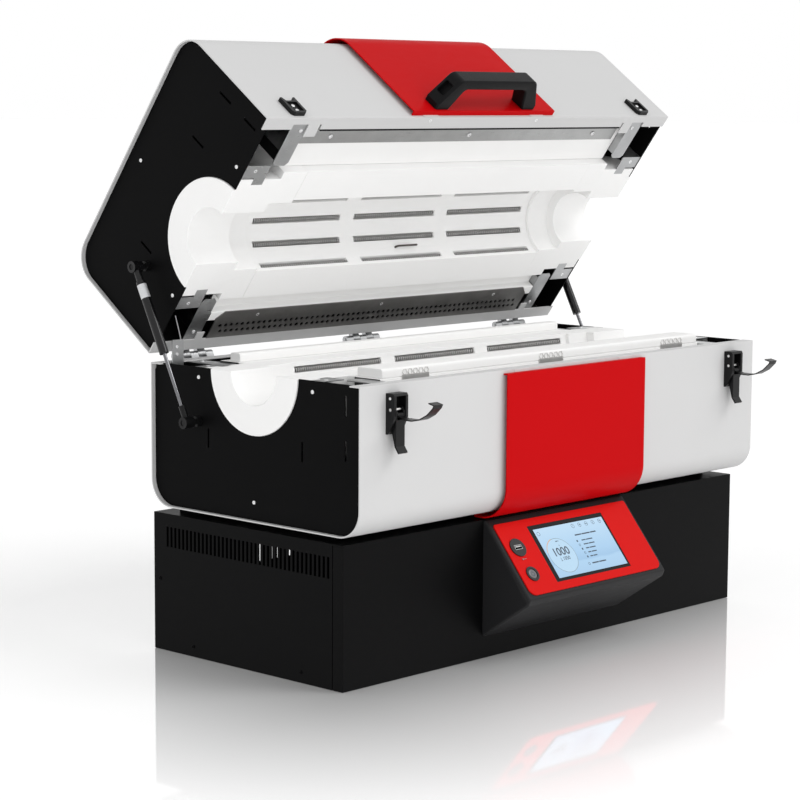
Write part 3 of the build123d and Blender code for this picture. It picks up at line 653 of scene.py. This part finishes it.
for half in ("body", "lid"):
    shell = dress(half + "_shell", "shell", case["sheetEdge"], cuts=(-case["rimX"], case["rimX"]))
    refinish(shell, "insideShade", half, isInside)
    panel = dress(half + "_red_panel", "red", case["sheetEdge"])
    refinish(panel, "shell", half, isTab)
    box = dress(half + "_insulation", "board", case["boardEdge"], 3)
    refinish(box, "insideShade", half, isBoxEnd)
    dress(half + "_vestibules", "plug", case["fibreEdge"], 3)
    for place in ("left", "middle", "right"):
        dress(half + "_heater_" + place, "heater", case["heaterEdge"])
    for place in ("left", "right"):
        dress(half + "_end_plate_" + place, "black", case["plateEdge"])
    dress(half + "_corner_straps", "zinc", case["strapEdge"])
    dress(half + "_ring_clips", "zinc", case["strapEdge"])
    dress(half + "_hinge_leaves", "zinc", case["leafEdge"])
    coat(half + "_heating_coils", "wire")
    coat(half + "_strut_studs", "latch")
dress("body_seal_rails", "board", case["railEdge"])
dress("lid_front_strip", "strip", case["stripEdge"])
coat("lid_guard_strip", "guard")
coat("spring_combs", "spring")
coat("thermocouple", "sheath")
coat("hinge_pins", "zinc")
# painted shadow: a thin near-black block along the inner edge of the lid's front flange, where the
# gap to the strip lies in shade
x, y, height = case["shadowStripPlace"]
shadowStrip = bmesh.new()
addBlock(shadowStrip, Vector(case["shadowStrip"]) * mm,
         lidOpening @ Matrix.Translation(Vector((x, y, furnace["partingHeight"] + height)) * mm))
settle("lid-front-shadow-strip", shadowStrip, "grip", "lid")
print("case and lid dressed")


# finish, softened edge in millimetres and steps of its rounding
dressedFittings = {
    "base_cover": ("baseBlack", 0.5, 2),
    "base_front_panel": ("baseBlack", 0.5, 2),
    "control_pod": ("pod", 0.6, 2),
    "control_fascia": ("fascia", 0.4, 2),
    "usb_port": ("bezel", 0.25, 2),
    "switch_bezel": ("bezel", 0.3, 2),
    "standby_button": ("button", 0.3, 2),
    "mains_gland": ("housing", 0.5, 2),
    "lid_handle": ("grip", 1.2, 3),
    "latch_keepers": ("latch", 0.3, 2),
    "latch_housing_left": ("housing", 0.4, 2),
    "latch_lever_left": ("latch", 0.3, 2),
    "latch_hook_left": ("latch", 0.25, 2),
    "strut_cylinder_left": ("tube", 0.3, 2),
    "latch_housing_right": ("housing", 0.4, 2),
    "latch_lever_right": ("latch", 0.3, 2),
    "latch_hook_right": ("latch", 0.25, 2),
    "strut_cylinder_right": ("tube", 0.3, 2),
}
coatedFittings = {
    "base_chassis": "baseBlack",
    "base_spacers": "black",
    "display_panel": "glass",
    "controller_board": "circuit",
    "thyristor_heat_sink": "sink",
    "latch_pins": "spring",
}
for node, (finish, soften, steps) in dressedFittings.items():
    dress(node, finish, soften, steps)
for node, finish in coatedFittings.items():
    coat(node, finish)

struts = {
    "x": 440.0,
    "lower": (109.0, 326.0),
    "upper": (109.0, 78.0),         # y and height over the parting plane, lid shut
    "fitting": 24.0,                # the black end fitting lies within this of the lower pivot
    "rodEdge": 0.1,
    "band": (27.0, 47.0, 6.62),     # from and to, along the tube from its upper pivot, and radius
    "bandSides": 48,
}


def recoat(piece, finish, place, reach):
    # the faces near a point get a second finish
    piece.data.materials.append(finishes[finish])
    for face in piece.data.polygons:
        if (face.center - place).length < reach * mm:
            face.material_index = len(piece.data.materials) - 1


for side, place in ((-1, "left"), (1, "right")):
    rod = dress("strut_rod_" + place, "rod", struts["rodEdge"])
    lowerEnd = Vector((side * struts["x"], *struts["lower"])) * mm
    upperEnd = onLid(side * struts["x"], *struts["upper"])
    recoat(rod, "latch", lowerEnd, struts["fitting"])
    along = (lowerEnd - upperEnd).normalized()
    near, far, radius = struts["band"]
    band = bmesh.new()
    ring = bmesh.ops.create_cone(band, cap_ends=False, segments=struts["bandSides"],
                                 radius1=radius * mm, radius2=radius * mm, depth=(far - near) * mm)
    move(band, ring["verts"], aim(upperEnd + along * (near + far) / 2 * mm, along))
    settle("strut-band-" + place, band, "band", "cylinder_" + place)
print("base, controls and fittings dressed")


screws = {                      # head radius and height
    "plate": (2.7, 1.6),
    "strip": (3.4, 2.0),
    "strap": (2.8, 1.5),
    "flush": (2.8, 0.8),        # where the two halves nearly touch with the lid shut
    "bracket": (2.4, 1.2),
    "keeper": (2.7, 1.4),
    "housing": (1.7, 0.9),
    "cheek": (1.9, 1.0),
    "base": (2.6, 1.2),
}
# places of the screws; gap and height are measured from the parting plane
screwPlaces = {
    "plate": ((108, 14), (-110, 15), (0, 172)),         # y and gap
    "strip": ((-279, 0, 279), -161, 12.5),              # x of each, y and height
    "strap": ((352, -178), (359, 168)),                 # x and y on each side
    "strapGap": 2.5,
    "clip": (398, 113),                                 # x and y at each corner
    "clipGap": 1.3,
    "tab": ((-113, 113), -194.5, 1.1),
    "guard": ((-252, 0, 252), 143.5, 1.1),
    "bracket": (-398.5, 176, (410, 420)),               # x, y and z of each
    "keeper": (365, -203, (12.5, 22.5)),                # x, y and the heights of each
    "housing": (365, 10.8, -213, 383),                  # x, half the spacing, y and z
    "cheek": (365, 13, -208, 381.5),
    "hinge": ((-338, 0, 338), (-25, 0, 25), 203),       # centres, x from the centre, and y
    "hingeHeights": (374, 30),                          # z on the body, height on the lid
    "side": (421, ((-90, 14), (120, 14), (188, 100))),  # x, and y and z of each
    "rear": ((-408, -136, 136, 408), 200, (12, 178)),   # x of each, y and z of each
}
both = (-1, 1)
up, forward, backward = (0, 0, 1), (0, -1, 0), (0, 1, 0)
lidDown, lidForward, lidBackward = lidWay((0, 0, -1)), lidWay(forward), lidWay(backward)


def onCase(x, y, z):
    return Vector((x, y, z)) * mm


for side, word in zip(both, ("left", "right")):
    outward = (side, 0, 0)
    x = side * furnace["plateFace"]
    bodyScrews = [(onCase(x, y, furnace["partingHeight"] - gap), outward)
                  for y, gap in screwPlaces["plate"]]
    screwSet("body-plate-screws-" + word, bodyScrews, "bright", "case", *screws["plate"], "zinc")
    lidScrews = [(onLid(x, y, gap), outward) for y, gap in screwPlaces["plate"]]
    screwSet("lid-plate-screws-" + word, lidScrews, "bright", "lid", *screws["plate"], "zinc")

places, y, height = screwPlaces["strip"]
stripScrews = [(onLid(x, y, height), lidDown) for x in places]
screwSet("lid-strip-screws", stripScrews, "bright", "lid", *screws["strip"], "zinc")

gap = screwPlaces["strapGap"]
strapPlaces = [(side * x, y) for side in both for x, y in screwPlaces["strap"]]
lidStraps = [(onLid(x, y, gap), lidDown) for x, y in strapPlaces]
screwSet("lid-strap-screws", lidStraps, "bright", "lid", *screws["strap"], "zinc")
bodyStraps = [(onCase(x, y, furnace["partingHeight"] - gap), up) for x, y in strapPlaces]
screwSet("body-strap-screws", bodyStraps, "bright", "case", *screws["strap"], "zinc")

gap = screwPlaces["clipGap"]
clipX, clipY = screwPlaces["clip"]
clipPlaces = [(side * clipX, y) for side in both for y in (-clipY, clipY)]
lidFlush = [(onLid(x, y, gap), lidDown) for x, y in clipPlaces]
for kind in ("tab", "guard"):
    places, y, height = screwPlaces[kind]
    lidFlush += [(onLid(x, y, height), lidDown) for x in places]
screwSet("lid-flush-screws", lidFlush, "bright", "lid", *screws["flush"], "zinc")
bodyFlush = [(onCase(x, y, furnace["partingHeight"] - gap), up) for x, y in clipPlaces]
screwSet("body-flush-screws", bodyFlush, "bright", "case", *screws["flush"], "zinc")

x, y, heights = screwPlaces["bracket"]
bracketScrews = [(onCase(x, y, z), forward) for z in heights]
screwSet("switch-bracket-screws", bracketScrews, "bright", "case", *screws["bracket"], "zinc")

x, y, heights = screwPlaces["keeper"]
keeperScrews = [(onLid(side * x, y, height), lidForward) for side in both for height in heights]
screwSet("keeper-screws", keeperScrews, "bright", "lid", *screws["keeper"], "zinc")
x, apart, y, z = screwPlaces["housing"]
housingScrews = [(onCase(side * x + other * apart, y, z), forward)
                 for side in both for other in both]
screwSet("latch-housing-screws", housingScrews, "bright", "case", *screws["housing"], "zinc")
x, apart, y, z = screwPlaces["cheek"]
cheekScrews = [(onCase(side * x + other * apart, y, z), (other, 0, 0))
               for side in both for other in both]
screwSet("latch-cheek-screws", cheekScrews, "bright", "case", *screws["cheek"], "zinc")

centres, offsets, y = screwPlaces["hinge"]
bodyZ, lidHeight = screwPlaces["hingeHeights"]
hingeX = [centre + offset for centre in centres for offset in offsets]
bodyHinges = [(onCase(x, y, bodyZ), backward) for x in hingeX]
lidHinges = [(onLid(x, y, lidHeight), lidBackward) for x in hingeX]
screwSet("body-hinge-screws", bodyHinges, "zinc", "case", *screws["strip"], "hinge_steel")
screwSet("lid-hinge-screws", lidHinges, "zinc", "lid", *screws["strip"], "hinge_steel")

x, places = screwPlaces["side"]
sideScrews = [(onCase(side * x, y, z), (side, 0, 0)) for side in both for y, z in places]
screwSet("base-side-screws", sideScrews, "baseBlack", "case", *screws["base"], "black_steel")
places, y, heights = screwPlaces["rear"]
rearScrews = [(onCase(x, y, z), backward) for x in places for z in heights]
screwSet("base-rear-screws", rearScrews, "baseBlack", "case", *screws["base"], "black_steel")
print("screws made")


# places are right of and below the fascia's top left corner, in millimetres
display = {
    "area": (150.0, 78.0),                  # lit area
    "centre": (145.5, 57.2),
    "lift": -0.42,                          # of the lit area, over the fascia
    "inkLift": 0.12,
    "inkThick": 0.08,
    "wordGap": 1.1,
    "gauge": (101.0, 64.0, 27.0),           # place and radius
    "gaugeDisc": (0.05, 0.06, 60),          # thickness, lift and sides
    "gaugeLine": 0.7,
    "gaugeArc": (0.3, 1.1, 105.0, 60.0, 0.2),       # out of the rim, line, start, sweep, lift
    "reading": ("1000", 17.5, 0.3, 101.5, 58.5),    # characters, size, boldness and place
    "setting": ("1050", 7.6, 0.1, 105.5, 69.5),
    "rows": (145.0, 47.7, 0.9, 6.5),        # first symbol, and the steps to the next
    "rowRing": (1.6, 0.6),                  # radius and line
    "rowBar": (2.6, 3.0),
    "rowWordsAt": 154.5,
    "rowWords": ((8.5, 14.0), (10.0, 12.5), (7.0, 13.0), (6.5, 11.0), (6.0, 8.0)),
    "words": (                              # place, lengths and height of each line
        (146.5, 38.3, (14.0, 17.5, 12.5), 2.0),
        (150.5, 84.5, (14.0, 15.0), 2.0),
        (101.5, 41.8, (4.0, 1.2), 1.5),
    ),
    "wordHeight": 1.7,
    "status": (152.6, 24.0, 14.8),          # first symbol and the step to the next
    "statusRing": (3.0, 0.55),
    "statusBars": (1.0, 2.6, 3.4, 1.6, 2.6),
    "statusBarHeight": 1.2,
    "rings": ((144.0, 84.5, 1.7, 0.6), (77, 26, 2.9, 0.55), (104.5, 48.6, 0.9, 0.4)),
    "bars": ((94.5, 69.5, 0.7, 5.0), (94.5, 72.0, 3.4, 0.7)),
}
screenWay = Matrix((Vector((1, 0, 0)), fasciaUp, fasciaNormal)).transposed().to_4x4()


def facing(x, down, lift):
    return Matrix.Translation(onFascia(x, down, lift)) @ screenWay


def onScreen(x, down, lift=display["inkLift"]):
    return facing(x, down, display["lift"] + lift)


def addBar(shape, x, down, width, height, lift=display["inkLift"]):
    addBlock(shape, Vector((width, height, display["inkThick"])) * mm, onScreen(x, down, lift))


def addArc(shape, centre, radius, line, start, sweep, steps):
    # a flat ring or arc, turned from one small bar
    sliver = Matrix.Diagonal((line * mm, 0.001 * mm, 1, 1))
    first = bmesh.ops.create_grid(shape, x_segments=1, y_segments=1, size=0.5)["verts"]
    move(shape, first, centre @ Matrix.Rotation(math.radians(start), 4, "Z")
         @ Matrix.Translation((radius * mm, 0, 0)) @ sliver)
    edge = [item for item in first[0].link_edges if item.calc_length() > line * mm * 0.6][:1]
    bmesh.ops.delete(shape, geom=list(first[0].link_faces), context="FACES_ONLY")
    bmesh.ops.spin(shape, geom=edge + list(edge[0].verts), cent=centre.translation,
                   axis=fasciaNormal, angle=math.radians(sweep), steps=steps,
                   use_merge=sweep >= 360.0, use_duplicate=False)
    loose = [vert for vert in shape.verts if not vert.link_faces]
    bmesh.ops.delete(shape, geom=loose, context="VERTS")


def addRing(shape, x, down, radius, line):
    addArc(shape, onScreen(x, down), radius, line, 0.0, 360.0, 60)


def addWords(shape, x, down, lengths, height):
    # a line of plain dashes
    for length in lengths:
        addBar(shape, x + length / 2, down, length, height)
        x += length + display["wordGap"]


def makeLit():
    shape = bmesh.new()
    addBar(shape, *display["centre"], *display["area"], lift=0.0)
    settle("display-lit-area", shape, "screen", "case")


def makeInk():
    shape = bmesh.new()
    x, down, stepAcross, stepDown = display["rows"]
    for row, lengths in enumerate(display["rowWords"]):
        place = (x + row * stepAcross, down + row * stepDown)
        if row % 2:
            addRing(shape, *place, *display["rowRing"])
        else:
            addBar(shape, *place, *display["rowBar"])
        addWords(shape, display["rowWordsAt"], place[1], lengths, display["wordHeight"])
    x, down, step = display["status"]
    for count, width in enumerate(display["statusBars"]):
        addRing(shape, x + count * step, down, *display["statusRing"])
        addBar(shape, x + count * step, down, width, display["statusBarHeight"])
    for line in display["words"]:
        addWords(shape, *line)
    for ring in display["rings"]:
        addRing(shape, *ring)
    for bar in display["bars"]:
        addBar(shape, *bar)
    settle("display-ink", shape, "ink", "case")


def makeNumber(name, words, size, weight, x, down):
    curve = bpy.data.curves.new(name, "FONT")
    curve.body = words
    curve.size = size * mm
    curve.offset = weight * mm
    curve.align_x = "CENTER"
    curve.align_y = "CENTER"
    curve.resolution_u = 3
    holder = bpy.data.objects.new(name + "-curve", curve)
    bpy.context.scene.collection.objects.link(holder)
    mesh = bpy.data.meshes.new_from_object(holder)
    bpy.data.objects.remove(holder)
    shape = bmesh.new()
    shape.from_mesh(mesh)
    bpy.data.meshes.remove(mesh)
    move(shape, shape.verts[:], onScreen(x, down, 0.16))
    settle(name, shape, "ink", "case", tidy=False)


def makeGauge():
    x, down, radius = display["gauge"]
    thick, lift, sides = display["gaugeDisc"]
    disc = bmesh.new()
    addDisc(disc, radius * mm, thick * mm, onScreen(x, down, lift), sides)
    settle("display-gauge", disc, "paleInk", "case")
    rim = bmesh.new()
    addRing(rim, x, down, radius, display["gaugeLine"])
    settle("display-gauge-rim", rim, "lineInk", "case")
    out, line, start, sweep, lift = display["gaugeArc"]
    arc = bmesh.new()
    addArc(arc, onScreen(x, down, lift), radius + out, line, start, sweep, 12)
    settle("display-gauge-arc", arc, "amberInk", "case")


makeLit()
makeInk()
makeNumber("display-reading", *display["reading"])
makeNumber("display-setting", *display["setting"])
makeGauge()
print("display made")


# bars are given by their offset from the port's centre, their width and their height
port = {
    "centre": (22.5, 40.0),
    "lift": 1.68,
    "thick": 0.3,
    "rails": ((0, -3.15, 13.6, 0.7), (0, 3.15, 13.6, 0.7),
              (-6.85, 0, 0.7, 7.0), (6.85, 0, 0.7, 7.0)),
    "tongue": (0, -1.0, 10.6, 1.9),
    "tongueDrop": 0.15,
    "markBar": (1.0, 18.5, 6.5, 0.7),
    "markDot": (-2.6, 18.5, 1.2),       # offset and radius
    "markLift": 1.1,
    "markThick": 0.12,
}
# the mark on the standby button: a broken ring with a stem
standby = {
    "centre": (23.0, 82.0),
    "lift": 0.06,
    "arc": (3.2, 0.8, -240.0, 300.0, 30),       # radius, line, start, sweep and steps
    "stem": (0.8, 3.6, 0.04),
    "stemAt": 2.6,
}


def addFaceBar(shape, bar, lift, thick):
    across, below, width, height = bar
    x, down = port["centre"]
    addBlock(shape, Vector((width, height, thick)) * mm, facing(x + across, down + below, lift))


liner = bmesh.new()
for rail in port["rails"]:
    addFaceBar(liner, rail, port["lift"], port["thick"])
addFaceBar(liner, port["tongue"], port["lift"] - port["tongueDrop"], port["thick"])
settle("port-liner", liner, "strip", "case")

x, down = port["centre"]
across, below, radius = port["markDot"]
thick = port["markThick"]
dotWay = facing(x + across, down + below, port["markLift"] - thick / 2)
mark = bmesh.new()
addFaceBar(mark, port["markBar"], port["markLift"], thick)
addDisc(mark, radius * mm, thick * mm, dotWay, 16)
settle("port-mark", mark, "mark", "case")

capTop = max(vert.co.dot(fasciaNormal) for vert in nodes["standby_button"].data.vertices)
capCentre = onFascia(*standby["centre"])
capCentre += fasciaNormal * (capTop + standby["lift"] * mm - capCentre.dot(fasciaNormal))
capWay = Matrix.Translation(capCentre) @ screenWay
power = bmesh.new()
addArc(power, capWay, *standby["arc"])
addBlock(power, Vector(standby["stem"]) * mm,
         capWay @ Matrix.Translation((0, standby["stemAt"] * mm, 0)))
settle("standby-mark", power, "ink", "button")
print("marks made")


studio = {
    "floorSize": 60.0,
    "floorDrop": 0.0005,
    "room": 0.62,                       # light of the white room on the furnace
    "sunStrength": 1.0,
    "sunSoftness": 30.0,
    "sunWay": (-0.45, 0.65, -0.80),
}
# place, target, watts and size in metres
panels = {
    "frontPanel": ((-1.3, -4.6, 1.5), (0, 0, 0.45), 50.0, 4.5),
    "leftPanel": ((-4.2, -0.6, 1.3), (0, 0, 0.3), 18.0, 2.5),
}

floorShape = bmesh.new()
bmesh.ops.create_grid(floorShape, x_segments=1, y_segments=1, size=studio["floorSize"])
floorMesh = bpy.data.meshes.new("studio-floor")
floorShape.to_mesh(floorMesh)
floorShape.free()
floorMesh.materials.append(finishes["floor"])
floor = bpy.data.objects.new("studio-floor", floorMesh)
bpy.context.scene.collection.objects.link(floor)
floor.location.z = -studio["floorDrop"]


def addLamp(name, light, way):
    lamp = bpy.data.objects.new(name, light)
    bpy.context.scene.collection.objects.link(lamp)
    lamp.rotation_euler = Vector(way).to_track_quat("-Z", "Y").to_euler()
    return lamp


sun = bpy.data.lights.new("softSun", "SUN")
sun.energy = studio["sunStrength"]
sun.angle = math.radians(studio["sunSoftness"])
addLamp("softSun", sun, studio["sunWay"])
for name, (place, target, watts, size) in panels.items():
    light = bpy.data.lights.new(name, "AREA")
    light.shape = "SQUARE"
    light.size = size
    light.energy = watts
    lamp = addLamp(name, light, Vector(target) - Vector(place))
    lamp.location = place
    lamp.visible_glossy = False         # no lamp shows in the polished floor

# the room is white where it is seen or mirrored, and dimmer as a light
world = bpy.data.worlds.new("studioRoom")
bpy.context.scene.world = world
world.use_nodes = True
room = world.node_tree
seen = room.nodes.new("ShaderNodeLightPath")
direct = room.nodes.new("ShaderNodeMath")
direct.operation = "MAXIMUM"
room.links.new(seen.outputs["Is Camera Ray"], direct.inputs[0])
room.links.new(seen.outputs["Is Glossy Ray"], direct.inputs[1])
level = room.nodes.new("ShaderNodeMapRange")
level.inputs["To Min"].default_value = studio["room"]
room.links.new(direct.outputs[0], level.inputs["Value"])
room.nodes["Background"].inputs["Color"].default_value = (1, 1, 1, 1)
room.links.new(level.outputs[0], room.nodes["Background"].inputs["Strength"])

view = {
    "place": (-2.5638, -2.2859, 0.7608),
    "turn": 46.684,         # degrees to the right of straight ahead
    "tilt": -7.196,
    "roll": 0.318,
    "sensor": 36.0,         # millimetres across
    "lens": 107.9,
    "reach": 200.0,         # metres
}
cameraData = bpy.data.cameras.new("studioCamera")
camera = bpy.data.objects.new("studioCamera", cameraData)
bpy.context.scene.collection.objects.link(camera)
camera.location = view["place"]
camera.rotation_euler = (Matrix.Rotation(math.radians(-view["turn"]), 3, "Z")
                         @ Matrix.Rotation(math.radians(90 + view["tilt"]), 3, "X")
                         @ Matrix.Rotation(math.radians(view["roll"]), 3, "Z")).to_euler()
cameraData.sensor_width = view["sensor"]
cameraData.lens = view["lens"]
cameraData.clip_end = view["reach"]
bpy.context.scene.camera = camera
bpy.context.scene.view_settings.view_transform = "Standard"
print("floor, light and camera set")
